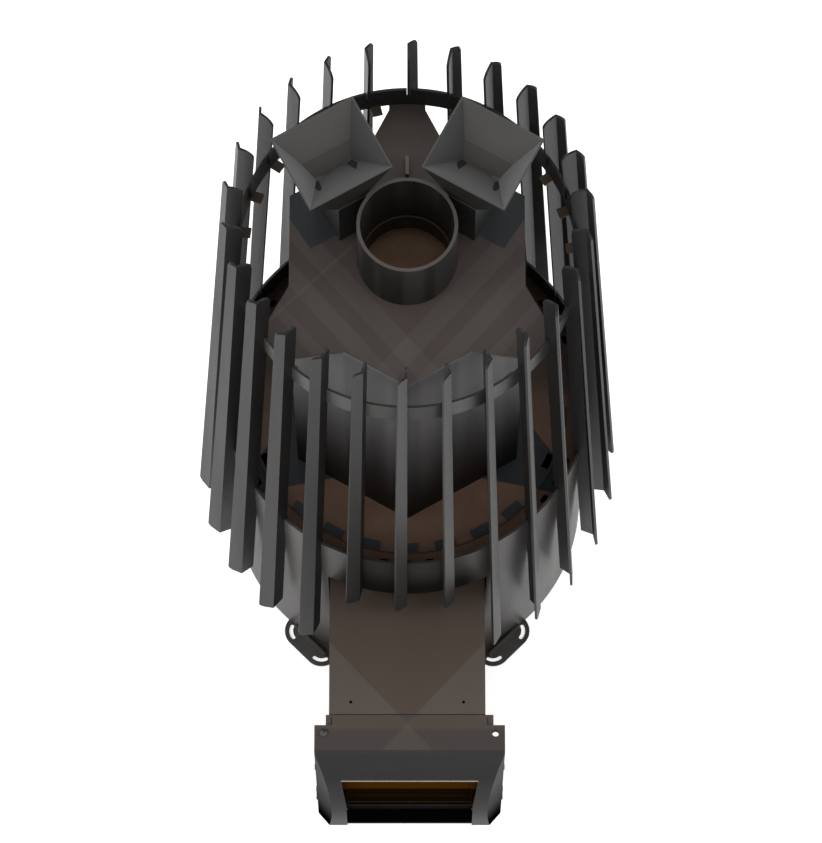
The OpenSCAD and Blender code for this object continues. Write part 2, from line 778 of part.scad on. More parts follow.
// Door leaf: top flange, sides, slanted cheeks and curved face, with the opening between two legs
module door_hood() color([0.24, 0.23, 0.22]) translate([door_shift, 0, 0]) {
    ear_x = hinge_x + (hinge_in - door_t / 2) / 2;
    difference() {
        union() {
            difference() {
                intersection() {
                    hood_plan(door_half, 0, hood_y, door_z, tunnel_h);
                    face_drum(0);
                }
                intersection() {
                    hood_plan(door_half - door_t, cheek_mitre, hood_y + cut, door_z - cut, flange_z);
                    face_drum(door_t);
                }
            }
            translate([-tab_half, hood_y - door_t, flange_z])
                cube([2 * tab_half, hood_back + door_t - tab_gap, door_t]);
            for (side = [-1, 1]) translate([side * ear_x, hinge_y, ear_z + ear_t / 2])
                cube([hinge_in + ear_depth / 4, ear_depth - door_t, ear_t], center = true);
        }
        translate([0, face_y - cut, 0]) rotate([-90, 0, 0]) linear_extrude(fold_y - face_y + cut) polygon([
            [-window_half_top, -window_top_z], [window_half_top, -window_top_z],
            [window_half_foot, -window_bend_z], [window_half_foot, 0], [-window_half_foot, 0],
            [-window_half_foot, -window_bend_z]]);
        for (side = [-1, 1]) {
            translate([side * hinge_x, hinge_y, ear_z - cut]) cylinder(r = hinge_hole_r, h = tunnel_h);
            translate([side * door_half, hood_y - notch_depth / 2, 0])
                for (z = [upper_arm_z - notch_gap, lower_arm_z - notch_gap])
                    translate([-2 * door_t, -notch_depth / 2, z])
                        cube([4 * door_t, notch_depth + cut, arm_h + notch_gap + seat_gap]);
        }
    }
}

module door_liner() color([0.2, 0.19, 0.18]) {
    upright_frame(liner_half, liner_z, liner_top_z, liner_half - liner_t, liner_z + liner_t,
        liner_top_z - liner_t, glass_y + gasket_t, liner_y);
    upright_frame(liner_half, liner_z, liner_top_z, liner_half - liner_flange, liner_z + liner_flange,
        liner_top_z - liner_flange, liner_y - liner_t, liner_y);
}

module door_seal() color([0.6, 0.58, 0.52]) {
    upright_frame(liner_half, liner_z, liner_top_z, liner_half - liner_flange, liner_z + liner_flange,
        liner_top_z - liner_flange, liner_y, frame_y - seal_gap);
}

module glass_gasket() color([0.5, 0.48, 0.44]) {
    upright_frame(liner_half, liner_z, liner_top_z, liner_half - liner_t, liner_z + liner_t,
        liner_top_z - liner_t, glass_y, glass_y + gasket_t);
}

module door_glass() color([0.1, 0.08, 0.06, 0.6]) {
    translate([door_shift - liner_half, glass_y - glass_t, liner_z])
        cube([2 * liner_half, glass_t, liner_top_z - liner_z]);
}

module glass_retainer() color([0.35, 0.34, 0.33]) {
    y1 = glass_y - glass_t;
    upright_frame(liner_half, liner_z, liner_top_z, liner_half - retainer_side, liner_z + retainer_bar,
        liner_top_z - retainer_side, y1 - retainer_t, y1);
}

module glass_screws() color([0.4, 0.4, 0.4]) {
    for (side = [-1, 1]) for (z = [liner_z + retainer_side / 2, liner_top_z - retainer_side / 2])
        translate([door_shift + side * (liner_half - retainer_side / 2), glass_y - glass_t - retainer_t, z])
            rotate([90, 0, 0]) cylinder(r = glass_screw_r, h = glass_screw_h);
}

module hinge_pin() color([0.3, 0.29, 0.28]) {
    dome_r = (pin_head_r * pin_head_r + pin_head_h * pin_head_h) / (2 * pin_head_h);
    translate([door_shift - hinge_x, hinge_y, 0]) {
        translate([0, 0, pin_foot_z]) cylinder(r = pin_r, h = tunnel_h + pin_head_h / 2 - pin_foot_z);
        intersection() {
            translate([0, 0, tunnel_h + pin_head_h - dome_r]) sphere(r = dome_r);
            translate([0, 0, tunnel_h]) cylinder(r = 2 * pin_head_r, h = pin_head_h + cut);
        }
    }
}

module side_screws() color([0.3, 0.29, 0.28]) {
    translate([door_shift, side_screw_y, 0]) for (side = [0, 1]) mirror([side, 0, 0])
        for (rise = [side_screw_low, side_screw_high])
            translate([door_half, 0, door_z + rise]) rotate([0, 90, 0]) cylinder(r = screw_r, h = screw_h);
}

module ash_drawer() color([0.13, 0.13, 0.13]) {
    difference() {
        translate([-drawer_w / 2, drawer_front_y, drawer_z])
            cube([drawer_w, drawer_back_y - drawer_front_y, drawer_h]);
        translate([drawer_t - drawer_w / 2, drawer_front_y + drawer_t, drawer_z + drawer_t])
            cube([drawer_w - 2 * drawer_t, drawer_back_y - drawer_front_y - 2 * drawer_t, drawer_h]);
    }
}

module drawer_pull() color([0.25, 0.25, 0.25]) {
    top = drawer_z + drawer_h;
    translate([-pull_w / 2, drawer_front_y - pull_reach, top - pull_t])
        cube([pull_w, pull_reach, pull_t]);
    translate([-pull_w / 2, drawer_front_y - pull_reach, top - pull_drop])
        cube([pull_w, pull_t, pull_drop]);
}

// Foot: a floor plate with round corners and curved slots, and a low upright along its bend line
module foot_trim(z1) {
    difference() {
        linear_extrude(z1) children();
        translate([0, 0, -cut]) foot_home() {
            cylinder(r = drum_r + seat_gap, h = z1 + 2 * cut);
            translate([-tunnel_w / 2 - seat_gap, -tunnel_reach, 0])
                cube([tunnel_w + 2 * seat_gap, tunnel_reach, z1 + 2 * cut]);
        }
    }
}

// Moves things from the stove's frame into the left foot's own frame
module foot_home() {
    translate([-foot_along, foot_bend_r, 0]) rotate([0, 0, -foot_turn]) children();
}

module foot() {
    rotate([0, 0, foot_turn]) translate([foot_along, -foot_bend_r, 0]) {
        foot_trim(foot_t) difference() {
            polygon(concat(
                arc(-foot_half, foot_corner_in, foot_corner_r, 180, 270, foot_steps),
                arc(foot_half, foot_corner_in, foot_corner_r, 270, 360, foot_steps),
                [[foot_half + foot_corner_r, foot_corner_r], [-foot_half - foot_corner_r, foot_corner_r]]));
            for (side = [0, 1]) mirror([side, 0]) foot_slot();
        }
        foot_trim(foot_wall_h) translate([-foot_wall_half, 0]) square([2 * foot_wall_half, foot_t]);
    }
}

// Slot that runs round a corner of the foot
module foot_slot() {
    half_w = foot_slot_w / 2;
    from = -foot_slot_from;
    to = -foot_slot_to;
    translate([foot_half, foot_corner_in]) polygon(concat(
        arc(0, 0, foot_slot_r + half_w, from, to, foot_steps),
        arc(foot_slot_r * cos(to), foot_slot_r * sin(to), half_w, to, to - 180),
        arc(0, 0, foot_slot_r - half_w, to, from, foot_steps),
        arc(foot_slot_r * cos(from), foot_slot_r * sin(from), half_w, from + 180, from)));
}

module left_foot() color([0.28, 0.27, 0.26]) foot();
module right_foot() color([0.28, 0.27, 0.26]) mirror([1, 0, 0]) foot();

base_plate();
lower_drum();
vent_ring();
drum_floor();
floor_pads();
firebox_walls();
hearth_plate();
fire_grate();
flame_baffle();
baffle_rails();
left_evaporator();
right_evaporator();
top_plate();
lifting_lug();
flue_collar();
left_duct();
right_duct();
left_funnel();
right_funnel();
upper_ring();
long_slats();
short_slats();
left_foot();
right_foot();
fuel_tunnel();
front_frame();
hinge_arms();
sill_plate();
door_hood();
door_liner();
door_glass();
glass_gasket();
glass_retainer();
glass_screws();
hinge_pin();
side_screws();
door_seal();
ash_drawer();
drawer_pull();
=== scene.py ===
import json
import math
from functools import partial

import bmesh
import bpy
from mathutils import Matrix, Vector


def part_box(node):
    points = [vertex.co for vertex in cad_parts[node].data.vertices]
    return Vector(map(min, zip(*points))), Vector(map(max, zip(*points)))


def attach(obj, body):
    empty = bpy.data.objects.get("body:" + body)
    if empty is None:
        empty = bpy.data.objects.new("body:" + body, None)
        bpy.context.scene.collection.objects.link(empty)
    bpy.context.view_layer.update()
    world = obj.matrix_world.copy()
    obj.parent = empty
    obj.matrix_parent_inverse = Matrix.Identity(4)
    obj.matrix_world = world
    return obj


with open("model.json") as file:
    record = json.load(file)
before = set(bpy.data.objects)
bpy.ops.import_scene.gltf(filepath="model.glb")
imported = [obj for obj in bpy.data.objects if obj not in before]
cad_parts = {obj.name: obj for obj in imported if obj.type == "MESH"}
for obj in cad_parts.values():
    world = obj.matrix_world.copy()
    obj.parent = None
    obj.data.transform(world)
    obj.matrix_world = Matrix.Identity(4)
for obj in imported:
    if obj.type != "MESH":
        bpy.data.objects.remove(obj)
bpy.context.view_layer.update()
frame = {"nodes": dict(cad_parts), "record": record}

# Sizes and places on the stove are in millimetres; the camera's, the floor's and the lamps' are in metres
MM = 0.001

# Directions in the stove's frame, whose front is the door's side
RIGHT, LEFT = (1, 0, 0), (-1, 0, 0)
BACK, FRONT = (0, 1, 0), (0, -1, 0)
UP = (0, 0, 1)
SIDES = {"left": -1, "right": 1}

# Places read from the frame
TRAY_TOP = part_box("drum_floor")[1].z / MM
PLATE_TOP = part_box("top_plate")[1].z / MM
RING_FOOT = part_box("upper_ring")[0].z / MM
FUNNEL_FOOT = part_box("left_funnel")[0].z / MM
MOUTH_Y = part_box("front_frame")[0].y / MM
DOOR_LOW, DOOR_HIGH = (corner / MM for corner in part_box("door_hood"))

# Camera, fitted to the photograph: it stands in front of the door and looks steeply down
CAM_PLACE = (0, -1.894, 5.4675)
CAM_TILT = math.radians(20.14)
CAM_LENS, CAM_SENSOR = 189.9, 36
CAM_SHIFT = 0.0046
CAM_REACH = 100

# Water funnels in plan, written for the left one: U runs across the funnel and N away from the flue
FUNNEL_TURN = math.radians(30)
# The slit in a funnel: where it ends along U and begins along N, its width, and its height above the foot
SLIT_U = (-62.25, -14.25)
SLIT_N, SLIT_W, SLIT_RISE = 98.0, 3.6, 11
# How much the wall before the slit rises for each millimetre towards the flue
WALL_RISE = 0.741
# The notches at the slit's ends: their radius, and the steps in a quarter round
NOTCH_R, NOTCH_STEPS = 9.3, 10
# Outlines of the thin dark sheets of painted shade at the slit's ends, read from the photograph, as (U, N)
HOLLOW_SHADES = (
    ((-63.6, 99.0), (-60.6, 95.0), (-61.4, 90.0), (-63.2, 84.0),
     (-66.6, 78.6), (-69.2, 82.5), (-69.6, 89.5), (-67.0, 95.0)),
    ((-21.6, 100.6), (-15.5, 101.0), (-10.8, 98.6), (-10.9, 94.5),
     (-14.2, 88.5), (-18.6, 84.2), (-19.8, 90.0)),
)
# Upper and lower faces of the slabs in a funnel, above the wall's surface
NOTCH_FACES, SLIT_FACES, HOLLOW_SHADE_FACES = (-0.1, -1.0), (-0.7, -1.3), (0.35, 0.05)
# Tone of a funnel's wall before the slit
FUNNEL_WALL_TONE = (88, 88, 88)

# Cut edge of the sheet along the top of the door's opening, in a painted highlight, in front of the tunnel's
# mouth and below the door's top, and the rounding of its corners
EDGE_HALF_W = 86.4
EDGE_Y = (MOUTH_Y - 58.2, MOUTH_Y - 54.9)
EDGE_Z = (DOOR_HIGH.z - 90.0, DOOR_HIGH.z - 84.4)
EDGE_ROUND = 0.6

# Steel surfaces: noise scales per metre, and the radius and tone of lighter edges, partly wear and partly
# painted highlight
STREAK_SCALE, CLOUD_SCALE, GRAIN_SCALE, WEAR_SCALE, DENT_SCALE = 26, 7, 420, 90, 9
WEAR_AND_SHEEN_RADIUS = 0.7
WEAR_AND_SHEEN_TONE = (92, 90, 88)
# Stretch that turns a noise into upright stripes
UPRIGHT = (1, 1, 0.01)

# Two soft fields of light cross at the tunnel's mouth: the ways across their edges, in degrees from straight
# right, the distance of these edges from the stove's axis, and their softness
FIELD_WAYS = (-137.3, -42.7)
FIELD_EDGE, FIELD_SOFT = 269, 1.2

# Slats mirrored in the top plate: the way across the bands of each side, and the two edges of each band
BAND_WAYS = {"left": -139.3, "right": -40.9}
BANDS = ((62, 87), (104, 125), (146, 160))
# A thin pale line among them
HAIRLINE_WAY, HAIRLINE = -45.8, (-57.6, -53.7)
# Bluish corners of the top plate, behind two slanted edges: how far the ways across these turn from straight
# ahead, their distances from the axis, and how far out and how softly the blue begins
CORNER_TURNS, CORNER_EDGES = (56.6, -29.3), (86, -65.4)
CORNER_START, CORNER_SOFT = 50, 8

# Light levels
SKY_SIDE, SKY_TOP = 0.5, 0.62
SKY_COLOUR = (1, 0.99, 0.975, 1)
FLOOR_TONE, FLOOR_GLOW = 0.86, 0.62
FLOOR_SIZE = 60
LAMP_AIM = Vector((0, 0, 0.5))
# Each lamp's place, size and power
LAMPS = {
    "front_box": ((0, -3.0, 2.6), (2.4, 1.6), 30),
    "left_box": ((-3.0, -0.6, 2.4), (1.6, 2.4), 34),
    "right_box": ((3.0, -0.6, 2.4), (1.6, 2.4), 30),
    "back_box": ((0, 3.0, 2.6), (2.4, 1.4), 30),
}


def add_camera():
    data = bpy.data.cameras.new("camera")
    data.sensor_fit = "HORIZONTAL"
    data.sensor_width = CAM_SENSOR
    data.lens = CAM_LENS
    data.shift_x = CAM_SHIFT
    data.clip_end = CAM_REACH
    camera = bpy.data.objects.new("camera", data)
    camera.location = CAM_PLACE
    camera.rotation_euler = (CAM_TILT, 0, 0)
    bpy.context.scene.collection.objects.link(camera)
    bpy.context.scene.camera = camera


def shown(*display):
    """A colour written in display values from 0 to 255, in linear light."""
    return tuple(v / 255 / 12.92 if v < 10.3 else ((v / 255 + 0.055) / 1.055) ** 2.4 for v in display) + (1,)


class Nodes:
    """A node tree, with short calls for the nodes used here."""

    def __init__(self, tree):
        self.tree = tree
        tree.nodes.clear()

    def add(self, kind, **settings):
        node = self.tree.nodes.new(kind)
        for key, value in settings.items():
            setattr(node, key, value)
        return node

    def put(self, node, socket, value):
        """Sets an input of a node, or links an output of another node to it."""
        target = node.inputs[socket]
        if isinstance(value, bpy.types.NodeSocket):
            self.tree.links.new(value, target)
        else:
            target.default_value = value

    def build(self, kind, sockets, output=0, **settings):
        """Adds a node with its inputs filled, and gives one of its outputs."""
        node = self.add(kind, **settings)
        for socket, value in sockets.items():
            self.put(node, socket, value)
        return node.outputs[output]

    def math(self, operation, a, b=0.0):
        return self.build("ShaderNodeMath", {0: a, 1: b}, operation=operation)

    def both(self, a, b):
        """1 where both shares are 1."""
        return self.math("MULTIPLY", a, b)

    def either(self, a, b):
        """1 where one of two shares is 1."""
        return self.math("MAXIMUM", a, b)

    def vector(self, operation, sockets, output="Vector"):
        return self.build("ShaderNodeVectorMath", sockets, output, operation=operation)

    def dot(self, a, b):
        return self.vector("DOT_PRODUCT", {0: a, 1: b}, "Value")

    def place(self, stretch=(1, 1, 1)):
        """The point's place on the stove, in metres, stretched along each axis."""
        point = self.add("ShaderNodeTexCoord").outputs["Object"]
        return self.build("ShaderNodeMapping", {"Vector": point, "Scale": stretch}, "Vector")

    def normal(self):
        return self.add("ShaderNodeTexCoord").outputs["Normal"]

    def noise(self, place, scale, detail=2.0, rough=0.5):
        sockets = {"Vector": place, "Scale": scale, "Detail": detail, "Roughness": rough}
        return self.build("ShaderNodeTexNoise", sockets, "Fac")

    def spread(self, value, low, high, to_low=0.0, to_high=1.0):
        """Runs smoothly from one level to another as the value goes from low to high."""
        sockets = {"Value": value, "From Min": low, "From Max": high, "To Min": to_low, "To Max": to_high}
        return self.build("ShaderNodeMapRange", sockets, "Result", interpolation_type="SMOOTHSTEP")

    def above(self, value, edge, soft=1.0):
        """0 below an edge and 1 above it, with the edge and its softness in millimetres."""
        return self.spread(value, (edge - soft) * MM, (edge + soft) * MM)

    def below(self, value, edge, soft=1.0):
        """1 below an edge and 0 above it, with the edge and its softness in millimetres."""
        return self.spread(value, (edge + soft) * MM, (edge - soft) * MM)

    def between(self, value, low, high, soft=1.0):
        """1 between two edges and 0 outside them, with all three in millimetres."""
        return self.math("SUBTRACT", self.above(value, low, soft), self.above(value, high, soft))

    def along(self, direction):
        """How far a point lies along a direction, in metres."""
        return self.dot(self.place(), direction)

    def across(self, way):
        """How far a point lies along a way in plan, given in degrees from straight right."""
        turn = math.radians(way)
        return self.along((math.cos(turn), math.sin(turn), 0))

    def aside(self):
        """How far a point lies to either side of the stove's middle."""
        return self.math("ABSOLUTE", self.along(RIGHT))

    def facing(self, direction, low, high, normal=None):
        """1 where the surface faces a direction; it fades in as their cosine goes from low to high."""
        return self.spread(self.dot(normal or self.normal(), direction), low, high)

    def outward(self):
        """1 where the surface faces straight out from the stove's axis, and -1 where it faces the axis."""
        return self.dot(self.normal(), self.vector("NORMALIZE", {0: self.place((1, 1, 0))}))

    def mirrored_normal(self):
        """The surface's direction, with both sides of the stove folded onto its right side."""
        side = self.math("SIGN", self.along(RIGHT))
        fold = self.build("ShaderNodeCombineXYZ", {"X": side, "Y": 1.0, "Z": 1.0})
        return self.vector("MULTIPLY", {0: self.normal(), 1: fold})

    def edges(self, radius):
        """1 on sharp edges and 0 on flats."""
        rounded = self.build("ShaderNodeBevel", {"Radius": radius * MM}, samples=6)
        flat = self.add("ShaderNodeNewGeometry").outputs["Normal"]
        return self.spread(self.dot(rounded, flat), 0.995, 0.8)

    def mix(self, share, a, b, blend="MIX"):
        """Tone a, which turns into tone b where the share says."""
        sockets = {"Factor": share, 6: a, 7: b}
        return self.build("ShaderNodeMix", sockets, 2, data_type="RGBA", blend_type=blend)

    def tone(self, *display):
        """A plain tone as a socket, for other nodes to work on."""
        return self.mix(0, shown(*display), shown(*display))

    def lift(self, tones, share, light):
        """Adds light to the tones where the share says."""
        return self.mix(share, tones, light, "ADD")

    def scale(self, tones, factor):
        return self.vector("SCALE", {0: tones, "Scale": factor})

    def vary(self, tones, noise, reach, low, high):
        """Scales tones from low to high as a noise goes from reach below its middle to reach above it."""
        return self.scale(tones, self.spread(noise, 0.5 - reach, 0.5 + reach, low, high))

    def ramp(self, value, stops):
        """A level that runs straight from stop to stop, each a place in millimetres and its level there."""
        low, high = stops[0][0], stops[-1][0]
        node = self.add("ShaderNodeValToRGB")
        self.put(node, 0, self.math("DIVIDE", self.math("SUBTRACT", value, low * MM), (high - low) * MM))
        points = node.color_ramp.elements
        for place, level in stops[1:-1]:
            points.new((place - low) / (high - low))
        for point, (place, level) in zip(points, stops):
            point.color = (level, level, level, 1)
        return node.outputs["Color"]

    def bump(self, height, strength, depth, under=None):
        """The surface's direction with a relief of a depth in millimetres, on top of another bump."""
        sockets = {"Height": height, "Strength": strength, "Distance": depth * MM}
        if under:
            sockets["Normal"] = under
        return self.build("ShaderNodeBump", sockets)

    def seen(self):
        """1 for rays that show the background: the camera's, and those off gloss or through glass."""
        path = self.add("ShaderNodeLightPath").outputs
        mirrored = self.either(path["Is Glossy Ray"], path["Is Transmission Ray"])
        return self.either(path["Is Camera Ray"], mirrored)


def new_material(name, finish):
    """A material whose finish is a function that works out the inputs of its shader."""
    material = bpy.data.materials.new(name)
    material.use_nodes = True
    n = Nodes(material.node_tree)
    shader = n.build("ShaderNodeBsdfPrincipled", finish(n))
    n.put(n.add("ShaderNodeOutputMaterial"), "Surface", shader)
    return material


def coated_steel(tone, shine=0.25, rough=0.42, streak=(1, 1, 0.06), vary=0.12, wear_and_sheen=0.35, paint=None,
                 metal=0.0):
    """Sheet steel under a thin dark coating: soft streaks, a fine grain, and lighter edges, partly wear and
    partly painted highlight.
    """
    def finish(n):
        place = n.place()
        streaks = n.noise(n.place(streak), STREAK_SCALE, 3, 0.55)
        clouds = n.noise(place, CLOUD_SCALE, 3, 0.5)
        grain = n.noise(place, GRAIN_SCALE, 2, 0.6)
        dents = n.noise(place, DENT_SCALE, 1, 0.4)
        tones = n.tone(*tone)
        if paint:
            tones = paint(n, tones)
        tones = n.vary(tones, streaks, 0.3, 1 - vary, 1 + vary)
        tones = n.vary(tones, clouds, 0.2, 1 - vary / 2, 1 + vary / 2)
        tones = n.vary(tones, grain, 0.2, 1 - vary / 3, 1 + vary / 3)
        # Lighter edges in patches: partly wear, partly a painted highlight where edges catch the light
        if wear_and_sheen:
            patches = n.spread(n.noise(place, WEAR_SCALE, 3, 0.6), 0.4, 0.62, 0.3 * wear_and_sheen, wear_and_sheen)
            tones = n.lift(tones, n.both(n.edges(WEAR_AND_SHEEN_RADIUS), patches), shown(*WEAR_AND_SHEEN_TONE))
        matt_streaks = n.spread(streaks, 0.2, 0.8, rough - 0.05, rough + 0.05)
        matt_grain = n.spread(grain, 0.3, 0.7, -0.03, 0.04)
        return {
            "Base Color": tones,
            "Roughness": n.math("ADD", matt_streaks, matt_grain),
            "Metallic": metal,
            "Specular IOR Level": shine,
            "Normal": n.bump(dents, 0.2, 1.0, n.bump(grain, 0.1, 0.1)),
        }

    return finish


def light_fields(n):
    """The two soft fields of light that cross at the tunnel's mouth."""
    return [n.above(n.across(way), FIELD_EDGE, FIELD_SOFT) for way in FIELD_WAYS]


def tunnel_paint(n, tones):
    """The tunnel's roof, which darkens a little towards the drum, under the fields of light."""
    light = (0.016, 0.019, 0.018, 1)
    for field in light_fields(n):
        tones = n.lift(tones, field, light)
    return n.scale(tones, n.ramp(n.along(FRONT), ((220, 0.86), (300, 1.0), (380, 1.08))))


def sill_paint(n, tones):
    """Near-black sill, its darkness painted shade under the door's hood, with a lighter brown front edge."""
    lip_tone = shown(112, 98, 86)
    return n.mix(n.facing(UP, 0.8, 0.9), lip_tone, tones)


def plate_corner(n, side):
    """The bluish corner beside and behind the flue on one side of the top plate."""
    outside = n.above(n.along((side, 0, 0)), CORNER_START, CORNER_SOFT)
    before = [n.above(n.across(-90 + side * turn), edge) for turn, edge in zip(CORNER_TURNS, CORNER_EDGES)]
    return n.both(outside, n.math("SUBTRACT", 1.0, n.either(*before)))


def plate_paint(n, tones):
    """Slats mirrored in the top plate as pale bands that cross before the flue, and its bluish corners."""
    tones = n.scale(tones, n.ramp(n.along(FRONT), ((-180, 1.35), (-100, 0.9), (0, 1.0), (160, 1.14))))
    band_light, hairline_light = (0.013, 0.013, 0.0135, 1), (0.012, 0.012, 0.012, 1)
    bluish, pale = shown(47, 50, 53), shown(104, 96, 90)
    for name, side in SIDES.items():
        for low, high in BANDS:
            tones = n.lift(tones, n.between(n.across(BAND_WAYS[name]), low, high), band_light)
        tones = n.mix(plate_corner(n, side), tones, bluish)
    tones = n.lift(tones, n.between(n.across(HAIRLINE_WAY), *HAIRLINE, 0.6), hairline_light)
    lifting_lug = n.above(n.along(UP), PLATE_TOP + 2.5, 0.5)
    return n.mix(lifting_lug, tones, pale)


def wall_paint(n, tones):
    """Walls that fade towards the tray, with soft upright stripes mirrored from the slats."""
    levels = ((410, 0.04), (450, 0.1), (500, 0.2), (550, 0.33), (610, 0.5), (680, 0.82), (740, 1.0))
    tones = n.scale(tones, n.ramp(n.along(UP), levels))
    return n.vary(tones, n.noise(n.place(UPRIGHT), 30, 2, 0.5), 0.1, 0.7, 1.12)


def drum_paint(n, tones):
    """Soft upright highlights on the drum's sides, a dark front over the tunnel and a dark inside."""
    tones = n.vary(tones, n.noise(n.place(UPRIGHT), 9, 1, 0.4), 0.15, 0.8, 1.2)
    over_tunnel = n.both(n.below(n.aside(), 82.5, 12.5), n.above(n.along(FRONT), 100))
    levels = ((300, 0.08), (330, 0.1), (360, 0.32), (380, 0.5))
    tones = n.mix(over_tunnel, tones, n.scale(tones, n.ramp(n.along(UP), levels)))
    tones = n.scale(tones, n.spread(n.along(RIGHT), 60 * MM, 160 * MM, 1.02, 0.88))
    return n.scale(tones, n.spread(n.outward(), -0.5, -0.2, 0.2, 1.0))


def tray_paint(n, tones):
    """Warm tray, lighter in front and dark behind, with bluish pads and bluish fields at its sides."""
    levels = ((-30, 0.45), (10, 1.0), (60, 1.15), (120, 1.35), (200, 1.4))
    tones = n.scale(tones, n.ramp(n.along(FRONT), levels))
    back, aside = n.along(BACK), n.aside()
    strip = n.both(n.between(aside, 125, 149), n.between(back, -49, 13))
    front_edge = n.above(n.math("ADD", back, n.math("MULTIPLY", aside, 0.2)), -86)
    back_edge = n.below(n.math("ADD", back, n.math("MULTIPLY", aside, 1.4)), 182)
    field = n.both(n.both(front_edge, back_edge), n.above(aside, 89))
    pads = n.above(n.along(UP), TRAY_TOP + 0.6, 0.3)
    deep_blue, pad_blue = shown(34, 36, 39), shown(44, 47, 51)
    return n.mix(pads, n.mix(n.either(strip, field), tones, deep_blue), pad_blue)


def ring_paint(n, tones):
    """The ring's tongues mirror the warm tray below."""
    tongues = n.both(n.below(n.along(UP), RING_FOOT + 5), n.facing(UP, 0.8, 0.95))
    warm = shown(84, 72, 62)
    return n.mix(tongues, tones, warm)


def slat_paint(n, tones):
    """Blades face the light, and webs face the dark inside of the cage."""
    return n.scale(tones, n.spread(n.math("ABSOLUTE", n.outward()), 0.15, 0.5, 0.68, 1.06))


def collar_paint(n, tones):
    """Upright facets of light and dark round the flue collar, and its pale rim."""
    tones = n.vary(tones, n.noise(n.place(UPRIGHT), 34, 1, 0.3), 0.07, 0.62, 1.4)
    rim = shown(73, 69, 66)
    return n.mix(n.facing(UP, 0.8, 0.95), tones, rim)


def funnel_paint(n, tones):
    """Each wall of a funnel in its own shade, as it faces its own part of the room, over a dark duct."""
    normal = n.mirrored_normal()
    height = n.along(UP)
    away = (math.sin(FUNNEL_TURN), math.cos(FUNNEL_TURN), 0)
    inward = (-math.cos(FUNNEL_TURN), math.sin(FUNNEL_TURN), 0)
    towards = [-v for v in away]
    outward = [-v for v in inward]
    tones = n.mix(n.facing(inward, 0.4, 0.6, normal), tones, shown(106, 106, 107))
    tones = n.mix(n.facing(outward, 0.4, 0.6, normal), tones, shown(57, 58, 58))
    tones = n.mix(n.facing(away, 0.4, 0.5, normal), tones, shown(*FUNNEL_WALL_TONE))
    crease = n.both(n.below(height, FUNNEL_FOOT + 24.5, 0.5), n.facing(towards, 0.4, 0.5, normal))
    tones = n.mix(crease, tones, shown(53, 51, 48))
    tones = n.mix(n.facing(towards, 0.85, 0.95, normal), tones, shown(38, 37, 36))
    return n.scale(tones, n.spread(height, (FUNNEL_FOOT - 2) * MM, FUNNEL_FOOT * MM, 0.72, 1.0))


def flange_tones(n):
    """The door's upper flange: a lighter wedge where the fields of light overlap, and a warm bend behind."""
    fields = light_fields(n)
    wedge_light, bend_light = (0.014, 0.014, 0.012, 1), (0.02, 0.013, 0.008, 1)
    tones = n.lift(n.tone(76, 71, 68), n.both(*fields), wedge_light)
    bend = n.above(n.along(BACK), MOUTH_Y - 15, 4.5)
    strength = n.spread(n.either(*fields), 0, 1, 0.35, 1.1)
    return n.lift(tones, n.math("MULTIPLY", bend, strength), bend_light)


def door_paint(n, tones):
    """Face that brightens towards its foot, cheeks that fade to black there, and the flange above."""
    height = n.along(UP)
    face = n.ramp(height, ((20, 4.0), (45, 3.4), (76, 2.45), (110, 1.8), (142, 1.42),
                           (190, 1.15), (220, 1.0), (285, 1.0), (300, 1.1)))
    cheeks = n.ramp(height, ((30, 0.02), (50, 0.2), (76, 0.65), (98, 1.1),
                             (150, 1.5), (194, 1.95), (260, 2.1)))
    right, left = (n.facing(direction, 0.3, 0.5) for direction in (RIGHT, LEFT))
    cheeks = n.scale(cheeks, n.spread(right, 0, 1, 1.17, 1.3))
    tones = n.scale(tones, n.mix(n.either(right, left), face, cheeks))
    return n.mix(n.facing(UP, 0.7, 0.9), tones, flange_tones(n))


def glass_tones(n, raised=0.0):
    """What the door's opening shows: an amber band over dark glass; a nearer face has it raised."""
    height = n.math("SUBTRACT", n.along(UP), raised * MM)
    ripples = n.noise(n.place((0.4, 1, 60)), 3, 2)
    amber, glint = shown(67, 41, 8), shown(50, 39, 27)
    dark = n.vary(n.tone(21, 13, 3), ripples, 0.2, 0.4, 1.6)
    dark = n.mix(n.between(height, 69.5, 73.5, 0.5), dark, glint)
    return n.mix(n.above(height, 136, 5), dark, amber)


def inner_paint(n, tones):
    """The frame round the pane carries the pane's tones down to its lower bar."""
    height = n.along(UP)
    tones = n.scale(tones, n.ramp(height, ((44, 0.1), (50, 0.7), (56, 0.85), (61, 1.0), (65.5, 2.0))))
    return n.mix(n.above(height, 67.25, 0.75), tones, glass_tones(n, 6.9))


def pane(n):
    """Dark heat-proof glass, amber above."""
    return {
        "Base Color": glass_tones(n),
        "Roughness": n.spread(n.noise(n.place(), 30, 3), 0.3, 0.7, 0.1, 0.2),
        "Specular IOR Level": 0.0,
    }


def cast_iron(n):
    """Rough, pitted casting."""
    pits = n.noise(n.place(), 500, 4, 0.65)
    patches = n.spread(n.noise(n.place(), 40, 3), 0.3, 0.7)
    return {
        "Base Color": n.mix(patches, shown(38, 37, 36), shown(62, 55, 50)),
        "Roughness": n.spread(pits, 0.3, 0.7, 0.55, 0.8),
        "Metallic": 0.4,
        "Normal": n.bump(pits, 0.5, 0.4),
    }


def fibre_rope(n):
    """Woven fibre seal."""
    sockets = {"Vector": n.place(), "Scale": 190, "Distortion": 1.5}
    weave = n.build("ShaderNodeTexWave", sockets, "Fac", wave_type="BANDS", bands_direction="DIAGONAL")
    return {
        "Base Color": n.mix(weave, shown(112, 108, 104), shown(172, 166, 158)),
        "Roughness": n.spread(weave, 0, 1, 0.95, 0.8),
        "Normal": n.bump(weave, 0.6, 0.5),
    }


